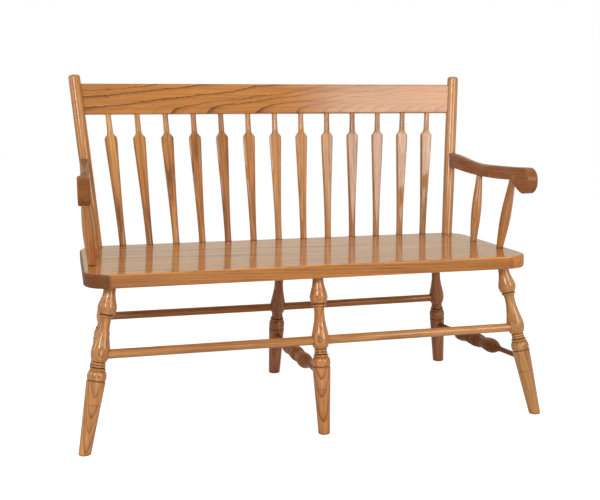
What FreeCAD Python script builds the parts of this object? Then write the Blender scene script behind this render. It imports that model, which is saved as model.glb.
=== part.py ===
import FreeCAD, Part

import math
import os

# A deacons bench in oak: a thick plank seat on six turned and splayed legs,
# a leaning back of thirteen arrow spindles under a crest rail between two
# round posts, and a scrolled arm on two turned spindles at each end.
# Millimetres. +X along the bench, the front faces -Y, +Z up. While the bench
# is drawn, Y is 0 at the row of back spindles and Z is 0 at the floor.

# Fits
glue_gap = 0.15
socket_end_gap = 1.0

# Seat plank. Places along the bench are measured from the seat's end
seat_length = 1235.0
seat_depth = 520.0
seat_thickness = 36.0
seat_height = 457.0
seat_front_corner_radius = 68.0
seat_rear_corner_radius = 78.0
seat_edge_round = 5.0
spindle_row_inset = 15.0

# Legs, with the turned pattern measured down along the leg from the seat
front_leg_end_inset = 67.8
front_leg_splay = 82.0
front_leg_head_inset = 48.0
front_leg_rake = 66.0
rear_leg_end_inset = 95.0
rear_leg_splay = 62.5
rear_leg_head_inset = 41.0
rear_leg_rake = 102.0
middle_leg_head_shift = 6.0
leg_tenon_diameter = 25.0
leg_tenon_length = 27.0
leg_neck_diameter = 30.0
leg_bulb_diameter = 49.0
leg_bulb_at = 56.0
leg_ring_diameter = 39.5
leg_ring_width = 6.0
leg_ring_at = 79.0
leg_quirk_width = 1.5
leg_waist_diameter = 27.8
leg_waist_at = 97.0
leg_vase_diameter = 48.5
leg_vase_at = 173.0
leg_bead_diameter = 35.0
leg_bead_width = 7.0
leg_beads_at = 197.5
leg_collar_diameter = 41.5
leg_collar_width = 2.0
leg_collar_hollow = 3.5
leg_ball_diameter = 49.6
leg_ball_at = 233.0
leg_groove_at = 244.0
leg_groove_depth = 2.6
leg_groove_width = 3.6
leg_taper_diameter = 49.2
leg_scribe_at = 306.0
leg_scribe_depth = 0.7
leg_scribe_width = 1.6
front_foot_diameter = 31.5
rear_foot_diameter = 36.5
foot_edge_round = 2.5
rear_leg_groove_at = 266.0

# Stretchers
long_stretcher_diameter = 24.2
front_stretcher_below_vase = 5.0
middle_stretcher_below_vase = 0.5
rear_stretcher_below_vase = 4.0
cross_stretcher_below_groove = 26.0
stretcher_tenon_length = 19.0
cross_end_diameter = 15.0
cross_bulb_diameter = 44.0
cross_bulb_at = 94.0
cross_bulb_end_at = 158.0
cross_bulb_start_at = 49.0
cross_middle_bead_diameter = 44.0
cross_middle_bead_width = 34.0
cross_ring_diameter = 41.0
cross_ring_width = 11.0
cross_groove_diameter = 31.0
cross_groove_width = 4.0

# Back posts, measured up along the leaning back from the top of the seat
back_lean = 9.34
post_row_forward = 18.6
post_end_inset = 51.5
post_splay = 46.0
post_length = 517.9
post_seat_diameter = 33.0
post_middle_diameter = 36.4
post_top_diameter = 34.6
post_middle_at = 320.0
post_top_round = 5.0
post_tenon_diameter = 25.0
post_tenon_length = 27.0

# Crest rail
crest_bottom_at = 401.0
crest_width = 92.0
crest_thickness = 20.0
crest_set_back = 5.0
crest_edge_round = 3.0
crest_tenon_thickness = 9.0
crest_tenon_shoulder = 11.0
crest_tenon_length = 13.0

# Back spindles, spread between the posts
spindle_count = 13
spindle_end_space_at_seat = 78.8
spindle_end_space_at_crest = 85.6
spindle_base_diameter = 20.8
spindle_neck_diameter = 16.4
spindle_arrow_width = 37.8
spindle_arrow_thickness = 13.5
spindle_bevel_turn = 45.0
spindle_bevel_depth = 1.6
spindle_neck_length = 54.0
spindle_shoulder_length = 20.0
spindle_tenon_diameter = 12.7
spindle_tenon_length = 24.0

# Arms
arm_height = 698.0
arm_rise_at_post = 23.0
arm_top_sweep = 261.0
arm_thickness = 38.0
arm_underside_rise = 20.0
arm_underside_sweep = 301.0
arm_rise_at_heel = 3.5
arm_sweep_past_post = 19.0
arm_rear_width = 26.0
arm_front_width = 22.0
arm_offset_at_post = 4.0
arm_front_end_inset = 14.0
arm_edge_round = 3.0
arm_top_round = 10.5
arm_side_round = 16.0
scroll_radius = 36.5
scroll_front_overhang = 4.0
scroll_width = 30.6
scroll_end_inset = 9.3
scroll_flare_length = 104.0
scroll_flare_run = 57.0
scroll_heel_behind = 69.0
scroll_hollow = 1.55
scroll_lift = 4.5
arm_neck_steps = 10
arm_flare_steps = 3
scroll_hollow_steps = 6
scroll_nose_steps = 12

# Arm spindles, placed back from the seat's front edge
rear_arm_spindle_end_inset = 43.5
rear_arm_spindle_at_seat = 298.0
rear_arm_spindle_at_arm = 317.0
front_arm_spindle_end_inset = 25.6
front_arm_spindle_at_seat = 155.0
front_arm_spindle_at_arm = 113.0
arm_spindle_base_diameter = 19.5
arm_spindle_middle_diameter = 30.0
arm_spindle_top_diameter = 18.0
arm_spindle_let_in = 4.0
arm_spindle_tenon_diameter = 16.0
arm_spindle_tenon_length = 23.0

# Arm screws and their wooden plugs
screw_height_below_arm_top = 24.0
screw_head_diameter = 9.0
screw_shank_diameter = 5.0
screw_length = 64.0
screw_head_length = 3.5
plug_diameter = 10.0
plug_length = 8.0
screw_gap = 0.1

# Worked out from the sizes above
seat_underside = seat_height - seat_thickness
seat_rear_y = spindle_row_inset
seat_front_y = seat_rear_y - seat_depth
seat_end_x = seat_length / 2
rear_leg_stretch = rear_leg_groove_at / leg_groove_at
post_seat_x = seat_end_x - post_end_inset
post_top_x = post_seat_x + post_splay
lean = math.radians(back_lean)
far = 4 * (seat_length + seat_depth + seat_height)


def vector(x, y, z):
    return FreeCAD.Vector(x, y, z)


# Drawing turned work

def outline_edges(first, runs):
    """Edges of half a turned outline from (distance, radius) points.
    A run of one point is straight, of two an arc, of more a smooth curve."""
    edges = []
    last = first
    for run in runs:
        points = [vector(radius, 0, distance) for distance, radius in [last] + run]
        if len(run) == 1:
            edges.append(Part.LineSegment(points[0], points[1]).toShape())
        elif len(run) == 2:
            edges.append(Part.Arc(points[0], points[1], points[2]).toShape())
        else:
            curve = Part.BSplineCurve()
            curve.interpolate(points)
            edges.append(curve.toShape())
        last = run[-1]
    return edges


def turned(first, runs):
    """A solid turned about +Z from its outline."""
    last = runs[-1][-1]
    low = vector(0, 0, first[0])
    high = vector(0, 0, last[0])
    closing = [
        Part.LineSegment(low, vector(first[1], 0, first[0])).toShape(),
        Part.LineSegment(vector(last[1], 0, last[0]), high).toShape(),
        Part.LineSegment(high, low).toShape(),
    ]
    wire = Part.Wire(Part.__sortEdges__(outline_edges(first, runs) + closing))
    return Part.Face(wire).revolve(vector(0, 0, 0), vector(0, 0, 1), 360)


def along(shape, start, end):
    """Place a shape drawn up +Z so that it runs from start towards end."""
    placed = shape.copy()
    placed.Placement = FreeCAD.Placement(start, FreeCAD.Rotation(vector(0, 0, 1), end - start))
    return placed


def rod(diameter, start, end, before=0.0, after=0.0):
    """A round rod from start to end, run on past either of them."""
    length = (end - start).Length + before + after
    cylinder = Part.makeCylinder(diameter / 2, length, vector(0, 0, -before))
    return along(cylinder, start, end)


def single(shape):
    """The one solid that a shape holds, with its faces tidied."""
    return shape.removeSplitter().Solids[0]


def mirrored(shape):
    return shape.mirror(vector(0, 0, 0), vector(1, 0, 0))


# Places on the leaning back

def back_point(x, behind, up):
    """A point on the back, set behind the row of posts and up its slope."""
    y = -post_row_forward + behind * math.cos(lean) + up * math.sin(lean)
    z = seat_height - behind * math.sin(lean) + up * math.cos(lean)
    return vector(x, y, z)


def lean_back(shape):
    """Turn a shape drawn upright on the row of posts onto the slope of the back."""
    leaning = shape.copy()
    leaning.rotate(vector(0, 0, 0), vector(1, 0, 0), -back_lean)
    leaning.translate(back_point(0, 0, 0))
    return leaning


def post_x(up):
    return post_seat_x + (post_top_x - post_seat_x) * up / post_length


def above_seat():
    return Part.makeBox(2 * far, 2 * far, far, vector(-far, -far, seat_height))


def below_seat():
    return Part.makeBox(2 * far, 2 * far, seat_underside, vector(-far, -far, 0))


def below_crest():
    slab = Part.makeBox(2 * far, 2 * far, far, vector(-far, -far, crest_bottom_at - far))
    return lean_back(slab)


# Legs

def leg_axis(side, rear):
    """Head and foot of a leg: side is -1, 0 or 1 along the bench."""
    if rear:
        head_y = seat_rear_y - rear_leg_head_inset
        foot_y = head_y + rear_leg_rake
        head_x = seat_end_x - rear_leg_end_inset
        foot_x = head_x + rear_leg_splay
        shift = middle_leg_head_shift / 2
    else:
        head_y = seat_front_y + front_leg_head_inset
        foot_y = head_y - front_leg_rake
        head_x = seat_end_x - front_leg_end_inset
        foot_x = head_x + front_leg_splay
        shift = -middle_leg_head_shift
    if side == 0:
        head_y += shift
        foot_y += shift
    return vector(side * head_x, head_y, seat_underside), vector(side * foot_x, foot_y, 0)


def down_leg(axis, distance):
    head, foot = axis
    return head + (foot - head).normalize() * distance


def leg_outline(length, foot_diameter, stretch):
    """The turned pattern of a leg. Stretch lengthens the pattern above the taper."""
    neck = leg_neck_diameter / 2
    bulb = leg_bulb_diameter / 2
    ring = leg_ring_diameter / 2
    waist = leg_waist_diameter / 2
    vase = leg_vase_diameter / 2
    bead = leg_bead_diameter / 2
    collar = leg_collar_diameter / 2
    ball = leg_ball_diameter / 2
    taper = leg_taper_diameter / 2
    foot = foot_diameter / 2
    quirk = bead * 0.9
    ring_start = leg_ring_at - leg_ring_width / 2
    ring_end = leg_ring_at + leg_ring_width / 2
    rise = leg_bulb_at
    flare = leg_vase_at - leg_waist_at
    fall = leg_beads_at - leg_vase_at
    beads_end = leg_beads_at + 2 * leg_bead_width
    collar_at = beads_end + leg_quirk_width
    ball_start = collar_at + leg_collar_width + leg_collar_hollow
    groove_wall = leg_groove_width / 3
    runs = [
        [(rise * 0.18, neck)],
        [(rise * 0.45, neck + (bulb - neck) * 0.20),
         (rise * 0.72, neck + (bulb - neck) * 0.62),
         (rise, bulb),
         (rise + (ring_start - rise) * 0.45, bulb * 0.955),
         (ring_start - 2 * leg_quirk_width, bulb * 0.83)],
        [(ring_start - leg_quirk_width, waist * 1.16)],
        [(ring_start, ring * 0.86)],
        [(leg_ring_at, ring), (ring_end, ring * 0.86)],
        [(ring_end + leg_quirk_width / 3, waist * 1.14)],
        [(ring_end + (leg_waist_at - ring_end) * 0.4, waist * 1.04),
         (leg_waist_at, waist),
         (leg_waist_at + flare * 0.27, waist + (vase - waist) * 0.11),
         (leg_waist_at + flare * 0.50, waist + (vase - waist) * 0.39),
         (leg_waist_at + flare * 0.72, waist + (vase - waist) * 0.73),
         (leg_waist_at + flare * 0.88, waist + (vase - waist) * 0.94),
         (leg_vase_at, vase),
         (leg_vase_at + fall * 0.45, vase * 0.94),
         (leg_vase_at + fall * 0.78, vase * 0.82),
         (leg_beads_at - leg_quirk_width, vase * 0.72)],
        [(leg_beads_at, quirk)],
        [(leg_beads_at + leg_bead_width / 2, bead), (leg_beads_at + leg_bead_width, quirk)],
        [(leg_beads_at + 1.5 * leg_bead_width, bead * 1.02),
         (beads_end, quirk)],
        [(collar_at, collar)],
        [(collar_at + leg_collar_width, collar)],
        [(ball_start, collar * 0.93)],
        [(ball_start + (leg_ball_at - ball_start) * 0.35, ball * 0.93),
         (leg_ball_at, ball),
         (leg_groove_at - groove_wall, ball * 0.955)],
        [(leg_groove_at, ball - leg_groove_depth)],
        [(leg_groove_at + groove_wall, ball - leg_groove_depth)],
        [(leg_groove_at + 2 * groove_wall, taper)],
    ]
    stretched = [[(distance * stretch, radius) for distance, radius in run] for run in runs]
    taper_start = stretched[-1][-1][0]
    scribe = leg_scribe_at * stretch

    def taper_radius(distance):
        return taper + (foot - taper) * (distance - taper_start) / (length - taper_start)

    past_floor = length + foot_diameter
    scribe_start = scribe - leg_scribe_width / 2
    scribe_end = scribe + leg_scribe_width / 2
    taper_runs = [
        [(scribe_start, taper_radius(scribe_start))],
        [(scribe, taper_radius(scribe) - leg_scribe_depth)],
        [(scribe_end, taper_radius(scribe_end))],
        [(past_floor, taper_radius(past_floor))],
    ]
    past_seat = -leg_neck_diameter
    return (past_seat, neck), [[(0.0, neck)]] + stretched + taper_runs


def leg(side, rear):
    head, foot = leg_axis(side, rear)
    diameter = rear_foot_diameter if rear else front_foot_diameter
    stretch = rear_leg_stretch if rear else 1.0
    first, runs = leg_outline((foot - head).Length, diameter, stretch)
    body = along(turned(first, runs), head, foot).common(below_seat())
    floor_edges = [edge for edge in body.Edges if edge.BoundBox.ZMax < 0.01]
    body = body.makeFillet(foot_edge_round, floor_edges)
    return body.fuse(leg_tenon(head, foot, 0.0, 0.0))


def leg_tenon(head, foot, gap, end_gap):
    """The leg's round tenon, or with gaps the socket for it."""
    beyond = head + (head - foot)
    return rod(leg_tenon_diameter + 2 * gap, head, beyond, leg_tenon_diameter / 2,
               leg_tenon_length + end_gap - (beyond - head).Length)


# Stretchers

def long_stretcher_ends(side, rear):
    """Where a long stretcher's axis meets the axes of a middle and an end leg."""
    if rear:
        at_middle = at_end = leg_vase_at * rear_leg_stretch + rear_stretcher_below_vase
    else:
        at_middle = leg_vase_at + middle_stretcher_below_vase
        at_end = leg_vase_at + front_stretcher_below_vase
    return down_leg(leg_axis(0, rear), at_middle), down_leg(leg_axis(side, rear), at_end)


def stretcher_reach(hub_diameter):
    """How far from a leg's axis a stretcher's end stops."""
    return hub_diameter / 2 - stretcher_tenon_length


def long_stretcher(side, rear, gap=0.0, end_gap=0.0):
    middle, end = long_stretcher_ends(side, rear)
    stop = end_gap - stretcher_reach(leg_vase_diameter)
    return rod(long_stretcher_diameter + 2 * gap, middle, end, stop, stop)


def cross_stretcher_ends(side):
    below = leg_groove_at + cross_stretcher_below_groove
    front = down_leg(leg_axis(side, False), below)
    rear = down_leg(leg_axis(side, True), below * rear_leg_stretch)
    return front, rear


def half_cross_outline():
    """Half the pattern of a cross stretcher, from its middle outwards."""
    end = cross_end_diameter / 2
    bulb = cross_bulb_diameter / 2
    bead = cross_middle_bead_diameter / 2
    ring = cross_ring_diameter / 2
    groove = cross_groove_diameter / 2
    bead_end = cross_middle_bead_width / 2
    ring_start = bead_end + cross_groove_width
    ring_end = ring_start + cross_ring_width
    fall = cross_bulb_end_at - cross_bulb_at
    rise = cross_bulb_at - cross_bulb_start_at
    return [
        [(bead_end * 0.5, bead * 0.985), (bead_end, bead * 0.88)],
        [(bead_end + cross_groove_width * 0.5, groove), (ring_start, ring * 0.9)],
        [(ring_start + cross_ring_width / 2, ring), (ring_end, ring * 0.9)],
        [(ring_end + cross_groove_width * 0.5, groove), (ring_end + cross_groove_width, ring * 0.86)],
        [(cross_bulb_start_at, ring * 0.84)],
        [(cross_bulb_start_at + rise * 0.35, bulb * 0.89),
         (cross_bulb_start_at + rise * 0.70, bulb * 0.98),
         (cross_bulb_at, bulb),
         (cross_bulb_at + fall * 0.25, bulb * 0.90),
         (cross_bulb_at + fall * 0.52, bulb * 0.60),
         (cross_bulb_at + fall * 0.78, end * 1.17),
         (cross_bulb_end_at, end)],
    ]


def cross_stretcher(side):
    front, rear = cross_stretcher_ends(side)
    half_length = (front - rear).Length / 2
    tip = half_length - stretcher_reach(leg_taper_diameter)
    first = (0.0, cross_middle_bead_diameter / 2)
    half = turned(first, half_cross_outline() + [[(tip, cross_end_diameter / 2)]])
    middle = (front + rear) * 0.5
    return along(half, middle, rear).fuse(along(half, middle, front))


def cross_stretcher_socket(side, rear_end):
    front, rear = cross_stretcher_ends(side)
    start, end = (rear, front) if rear_end else (front, rear)
    stop = socket_end_gap - stretcher_reach(leg_taper_diameter)
    return rod(cross_end_diameter + 2 * glue_gap, start, end, stop, leg_taper_diameter - (end - start).Length)


# Back posts, crest rail and arrow spindles

def post_axis():
    return back_point(post_seat_x, 0, 0), back_point(post_top_x, 0, post_length)


def post_body(extra=0.0):
    """A post without its tenon, thicker all round by extra."""
    foot, top = post_axis()
    length = (top - foot).Length
    seat = post_seat_diameter / 2 + extra
    middle = post_middle_diameter / 2 + extra
    tip = post_top_diameter / 2 + extra
    rounded = length - post_top_round
    runs = [
        [(post_middle_at * 0.5, (seat + middle) / 2 + 0.3),
         (post_middle_at, middle),
         (rounded, tip)],
        [(length - post_top_round * 0.3, tip - post_top_round * 0.35),
         (length, tip - post_top_round * 1.3)],
    ]
    below = -post_seat_diameter
    body = turned((below, seat), [[(0.0, seat)]] + runs)
    return along(body, foot, top).common(above_seat())


def post_tenon(gap, end_gap):
    foot, top = post_axis()
    return rod(post_tenon_diameter + 2 * gap, foot, top, post_tenon_length + end_gap,
               post_tenon_diameter / 2 - (top - foot).Length)


def upright_board(bottom, top, short_of_post, thickness):
    """A board on the back between the posts, drawn upright, its ends on their slope."""
    y = crest_set_back - thickness / 2
    bottom_x = post_x(bottom) - short_of_post
    top_x = post_x(top) - short_of_post
    corners = [vector(-bottom_x, y, bottom), vector(bottom_x, y, bottom),
               vector(top_x, y, top), vector(-top_x, y, top)]
    face = Part.Face(Part.makePolygon(corners + corners[:1]))
    return face.extrude(vector(0, thickness, 0))


def crest_tenons(gap, end_gap):
    """The tongue that runs into both posts, or with gaps the mortises for it."""
    short = post_middle_diameter / 2 - crest_tenon_length - end_gap
    board = upright_board(crest_bottom_at + crest_tenon_shoulder - gap,
                          crest_bottom_at + crest_width - crest_tenon_shoulder + gap,
                          short, crest_tenon_thickness + 2 * gap)
    return lean_back(board)


def crest_rail():
    crest_top = crest_bottom_at + crest_width
    board = upright_board(crest_bottom_at, crest_top, 0.0, crest_thickness)
    long_edges = [edge for edge in board.Edges if edge.BoundBox.XLength > post_seat_x]
    board = lean_back(board.makeFillet(crest_edge_round, long_edges))
    for side_post in (post_body(glue_gap), mirrored(post_body(glue_gap))):
        board = board.cut(side_post)
    rail = board.fuse(crest_tenons(0.0, 0.0))
    for number in range(spindle_count):
        rail = rail.cut(spindle_tenons(number, glue_gap, socket_end_gap))
    return rail


def spindle_axis(number):
    """Foot and top of a spindle: the first is at -1 of the row's half length, the last at 1."""
    share = 2 * number / (spindle_count - 1) - 1
    row_end_at_seat = post_seat_x - spindle_end_space_at_seat
    row_end_at_crest = post_x(crest_bottom_at) - spindle_end_space_at_crest
    foot = vector(share * row_end_at_seat, 0, seat_height)
    top = back_point(share * row_end_at_crest, crest_set_back, crest_bottom_at)
    return foot, top


def spindle_tenons(number, gap, end_gap):
    """A rod through the whole spindle whose ends are its tenons."""
    foot, top = spindle_axis(number)
    reach = spindle_tenon_length + end_gap
    return rod(spindle_tenon_diameter + 2 * gap, foot, top, reach, reach)


def planed(start, shoulder, at_start, at_arrow, at_neck, turn):
    """What a plane takes off a spindle on one side, given how far from the axis it passes."""
    outside = spindle_arrow_width
    corners = [vector(-outside, at_start, start),
               vector(-outside, at_arrow, shoulder),
               vector(-outside, at_arrow, shoulder + spindle_shoulder_length * 0.4),
               vector(-outside, at_neck, shoulder + spindle_shoulder_length),
               vector(-outside, outside, shoulder + spindle_shoulder_length),
               vector(-outside, outside, start)]
    face = Part.Face(Part.makePolygon(corners + corners[:1]))
    chip = face.extrude(vector(2 * outside, 0, 0))
    chip.rotate(vector(0, 0, 0), vector(0, 0, 1), turn)
    return chip


def spindle_chips(start, shoulder):
    """Two flats that make the arrow, and four narrow bevels along their edges."""
    base = spindle_base_diameter / 2
    neck = spindle_neck_diameter / 2
    half = spindle_arrow_thickness / 2
    edge = math.sqrt((spindle_arrow_width / 2) ** 2 - half ** 2)
    turn = math.radians(spindle_bevel_turn)
    bevel = half * math.cos(turn) + edge * math.sin(turn) - spindle_bevel_depth
    chips = []
    for side in (0, 180):
        chips.append(planed(start, shoulder, base, half, neck, side))
        for way in (-spindle_bevel_turn, spindle_bevel_turn):
            chips.append(planed(start, shoulder, base + 0.3, bevel, neck + 2.0, side + way))
    return chips


def spindle(number):
    foot, top = spindle_axis(number)
    length = (top - foot).Length
    base = spindle_base_diameter / 2
    neck = spindle_neck_diameter / 2
    arrow = spindle_arrow_width / 2
    shoulder = length - spindle_neck_length - spindle_shoulder_length
    flat_start = shoulder * 0.12
    spread = arrow - base
    past = spindle_base_diameter
    runs = [
        [(flat_start, base)],
        [(shoulder * 0.29, base + spread * 0.11),
         (shoulder * 0.47, base + spread * 0.31),
         (shoulder * 0.64, base + spread * 0.54),
         (shoulder * 0.82, base + spread * 0.79),
         (shoulder * 0.96, base + spread * 0.97),
         (shoulder, arrow)],
        [(shoulder + spindle_shoulder_length * 0.2, arrow * 0.93),
         (shoulder + spindle_shoulder_length * 0.5, (arrow + neck) / 2 - 0.5),
         (shoulder + spindle_shoulder_length, neck + 0.8)],
        [(length - spindle_neck_length * 0.4, neck)],
        [(length + past, neck)],
    ]
    body = turned((-past, base), runs)
    for chip in spindle_chips(flat_start, shoulder):
        body = body.cut(chip)
    body = along(body, foot, top).common(above_seat()).common(below_crest())
    return body.fuse(spindle_tenons(number, 0.0, 0.0))


# Arms, drawn for the right end

def arm_at_post():
    """The arm's centre line where it meets the axis of the post."""
    top = arm_height + arm_rise_at_post
    underside = arm_height - arm_thickness + arm_underside_rise
    up = ((top + underside) / 2 - seat_height) / math.cos(lean)
    centre = back_point(post_x(up), 0, up)
    return vector(centre.x + arm_offset_at_post, centre.y, centre.z)


def scroll_centre():
    y = seat_front_y - scroll_front_overhang + scroll_radius
    z = arm_height + scroll_lift - scroll_radius
    return y, z


def neck_end():
    """Where the plain part of the arm ends and the scroll begins to flare."""
    return scroll_centre()[0] + scroll_flare_length


def scroll_heel():
    """Where the arm's underside turns down into the scroll."""
    return scroll_centre()[0] + scroll_heel_behind


def arm_top(y):
    """Height of the arm's top: an S from the post down to the middle, then up and round the scroll."""
    centre_y, centre_z = scroll_centre()
    if y < centre_y:
        return centre_z + math.sqrt(scroll_radius ** 2 - (centre_y - y) ** 2)
    level = arm_at_post().y - arm_top_sweep
    if y < level:
        return arm_height + scroll_lift * ((level - y) / (level - centre_y)) ** 2
    share = (y - level) / (arm_top_sweep + arm_sweep_past_post)
    return arm_height + arm_rise_at_post * share * share * (3 - 2 * share)


def arm_underside(y):
    """Height of the arm's underside: a hollow curve to the heel, then down and round the scroll."""
    centre_y, centre_z = scroll_centre()
    if y < centre_y:
        return centre_z - math.sqrt(scroll_radius ** 2 - (centre_y - y) ** 2)
    heel = scroll_heel()
    if y < heel:
        foot = centre_z - scroll_radius
        return foot + (arm_underside(heel) - foot) * ((y - centre_y) / scroll_heel_behind) ** scroll_hollow
    level = arm_at_post().y - arm_underside_sweep
    deepest = arm_height - arm_thickness
    if y < level:
        return deepest + arm_rise_at_heel * ((level - y) / (level - heel)) ** 2
    return deepest + arm_underside_rise * ((y - level) / arm_underside_sweep) ** 2


def arm_sides(y):
    """The inner and outer X of the arm: plain to the neck's end, then flared to the scroll's width."""
    rear = arm_at_post()
    share = (rear.y - y) / (rear.y - neck_end())
    plain_x = rear.x + (seat_end_x - arm_front_end_inset - rear.x) * share
    plain_half = (arm_rear_width + (arm_front_width - arm_rear_width) * share) / 2
    flare = min(max((neck_end() - y) / scroll_flare_run, 0.0), 1.0)
    flare = flare * flare * (3 - 2 * flare)
    middle = plain_x + (seat_end_x - scroll_end_inset - plain_x) * flare
    half = plain_half + (scroll_width / 2 - plain_half) * flare
    nose = scroll_centre()[0] - scroll_radius
    if y < nose + arm_edge_round:
        into = nose + arm_edge_round - y
        half -= arm_edge_round - math.sqrt(arm_edge_round ** 2 - into ** 2)
    return middle - half, middle + half


def arm_section(y):
    """A closed section across the arm, whose top is most softly rounded at mid length."""
    inner, outer = arm_sides(y)
    low = arm_underside(y)
    high = arm_top(y)
    rear = arm_at_post().y
    share = min((rear - y) / (rear - neck_end()), 1.0)
    swell = math.sin(math.pi * share) ** 2
    small = arm_edge_round
    top_round = small + (arm_top_round - small) * swell
    side = small + (arm_side_round - small) * swell
    near = 1 - math.sqrt(0.5)

    def point(x, z):
        return vector(x, y, z)

    def corner(start, middle, end):
        return Part.Arc(point(*start), point(*middle), point(*end)).toShape()

    def line(start, end):
        return Part.LineSegment(point(*start), point(*end)).toShape()

    edges = [
        line((inner + small, low), (outer - small, low)),
        corner((outer - small, low), (outer - small * near, low + small * near), (outer, low + small)),
        line((outer, low + small), (outer, high - side)),
        corner((outer, high - side), (outer - top_round * near, high - side * near),
               (outer - top_round, high)),
        line((outer - top_round, high), (inner + top_round, high)),
        corner((inner + top_round, high), (inner + top_round * near, high - side * near),
               (inner, high - side)),
        line((inner, high - side), (inner, low + small)),
        corner((inner, low + small), (inner + small * near, low + small * near), (inner + small, low)),
    ]
    return Part.Wire(edges)


def between(first, last, steps):
    """Evenly spaced values from first to last."""
    return [first + (last - first) * step / steps for step in range(steps + 1)]


def arm_blank():
    """The arm before anything is cut into it: lofted to the heel, and on round the scroll."""
    centre_y = scroll_centre()[0]
    flare = between(neck_end(), scroll_heel(), arm_flare_steps)
    neck = between(arm_at_post().y, neck_end(), arm_neck_steps) + flare[1:]
    last_turn = math.acos(arm_edge_round * 1.15 / scroll_radius)
    turns = between(0.0, last_turn, scroll_nose_steps)
    nose = [centre_y - scroll_radius * math.sin(turn) for turn in turns]
    scroll = between(scroll_heel(), centre_y, scroll_hollow_steps) + nose[1:]
    halves = [Part.makeLoft([arm_section(y) for y in places], True, False) for places in (neck, scroll)]
    return halves[0].fuse(halves[1])


def arm_spindle_axis(front):
    """Where an arm spindle's axis meets the seat's top and the arm's underside."""
    if front:
        seat_x = seat_end_x - front_arm_spindle_end_inset
        seat_y = seat_front_y + front_arm_spindle_at_seat
        top_y = seat_front_y + front_arm_spindle_at_arm
    else:
        seat_x = seat_end_x - rear_arm_spindle_end_inset
        seat_y = seat_front_y + rear_arm_spindle_at_seat
        top_y = seat_front_y + rear_arm_spindle_at_arm
    inner, outer = arm_sides(top_y)
    return vector(seat_x, seat_y, seat_height), vector((inner + outer) / 2, top_y, arm_underside(top_y))


def arm_spindle_tenons(front, gap, end_gap):
    foot, top = arm_spindle_axis(front)
    reach = arm_spindle_tenon_length + end_gap
    return rod(arm_spindle_tenon_diameter + 2 * gap, foot, top, reach, reach)


def arm_spindle_body(front, extra):
    """A cigar shaped spindle without its tenons, let a little way into the arm."""
    foot, top = arm_spindle_axis(front)
    length = (top - foot).Length
    base = arm_spindle_base_diameter / 2 + extra
    middle = arm_spindle_middle_diameter / 2 + extra
    tip = arm_spindle_top_diameter / 2 + extra
    let_in = arm_spindle_let_in + extra
    runs = [
        [(0.0, base)],
        [(length * 0.17, base + (middle - base) * 0.50),
         (length * 0.33, base + (middle - base) * 0.88),
         (length * 0.47, middle),
         (length * 0.62, tip + (middle - tip) * 0.86),
         (length * 0.80, tip + (middle - tip) * 0.46),
         (length + let_in, tip)],
    ]
    body = turned((-arm_spindle_base_diameter, base), runs)
    return along(body, foot, top).common(above_seat())


def arm_spindle(front):
    return arm_spindle_body(front, 0.0).fuse(arm_spindle_tenons(front, 0.0, 0.0))


def arm():
    whole = arm_blank().cut(post_body(glue_gap))
    for front in (False, True):
        whole = whole.cut(arm_spindle_tenons(front, glue_gap, socket_end_gap))
        whole = whole.cut(arm_spindle_body(front, glue_gap))
    return whole.cut(screw_hole())


# Arm screws, driven from behind the post and covered by a plug

def screw_line():
    """Where the screw's axis leaves the back of the post, and its direction."""
    start = arm_at_post()
    height = arm_height + arm_rise_at_post - screw_height_below_arm_top
    up = (height - seat_height) / math.cos(lean)
    behind = back_point(post_x(up), 0, up).y + post_middle_diameter / 2
    back = vector(post_x(up), behind, height)
    ahead = vector(start.x, behind - far, height)
    return back, ahead


def on_screw_line(shape):
    back, ahead = screw_line()
    return along(shape, back, ahead)


def screw():
    head = screw_head_diameter / 2
    shank = screw_shank_diameter / 2
    seat = plug_length + screw_gap
    neck = seat + screw_head_length
    tip = seat + screw_length
    runs = [[(neck, shank)], [(tip - 2 * screw_shank_diameter, shank)], [(tip, 0.4)]]
    return on_screw_line(turned((seat, head), runs))


def screw_hole():
    shank = screw_shank_diameter / 2 + screw_gap
    length = plug_length + screw_length + 1.0
    return on_screw_line(Part.makeCylinder(shank, length))


def plug_hole():
    """The counterbore for the plug and the screw's head."""
    depth = plug_length + screw_head_length + 2 * screw_gap
    radius = plug_diameter / 2
    bore = Part.makeCylinder(radius, depth + plug_diameter, vector(0, 0, -plug_diameter))
    return on_screw_line(bore)


def plug():
    """A wooden plug, cut off to the round of the post."""
    radius = plug_diameter / 2 - screw_gap / 2
    blank = Part.makeCylinder(radius, plug_length + plug_diameter, vector(0, 0, -plug_diameter))
    return on_screw_line(blank).common(post_body())


def post():
    body = post_body().fuse(post_tenon(0.0, 0.0))
    body = body.cut(crest_tenons(glue_gap, socket_end_gap))
    return body.cut(screw_hole()).cut(plug_hole())


# Seat

def rounded_plan(length, front, rear, front_radius, rear_radius):
    """The seat's outline, anticlockwise from the front left corner."""
    half = length / 2
    near = 1 - math.sqrt(0.5)
    corners = [(-half, front, 1, 1, front_radius), (half, front, -1, 1, front_radius),
               (half, rear, -1, -1, rear_radius), (-half, rear, 1, -1, rear_radius)]
    arcs = []
    for number, (x, y, inward_x, inward_y, radius) in enumerate(corners):
        side_point = vector(x, y + inward_y * radius, 0)
        face_point = vector(x + inward_x * radius, y, 0)
        middle = vector(x + inward_x * radius * near, y + inward_y * radius * near, 0)
        ends = (side_point, face_point) if number % 2 == 0 else (face_point, side_point)
        arcs.append((ends[0], middle, ends[1]))
    edges = []
    for number, (start, middle, end) in enumerate(arcs):
        edges.append(Part.Arc(start, middle, end).toShape())
        edges.append(Part.LineSegment(end, arcs[(number + 1) % 4][0]).toShape())
    return Part.Wire(edges)


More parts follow.
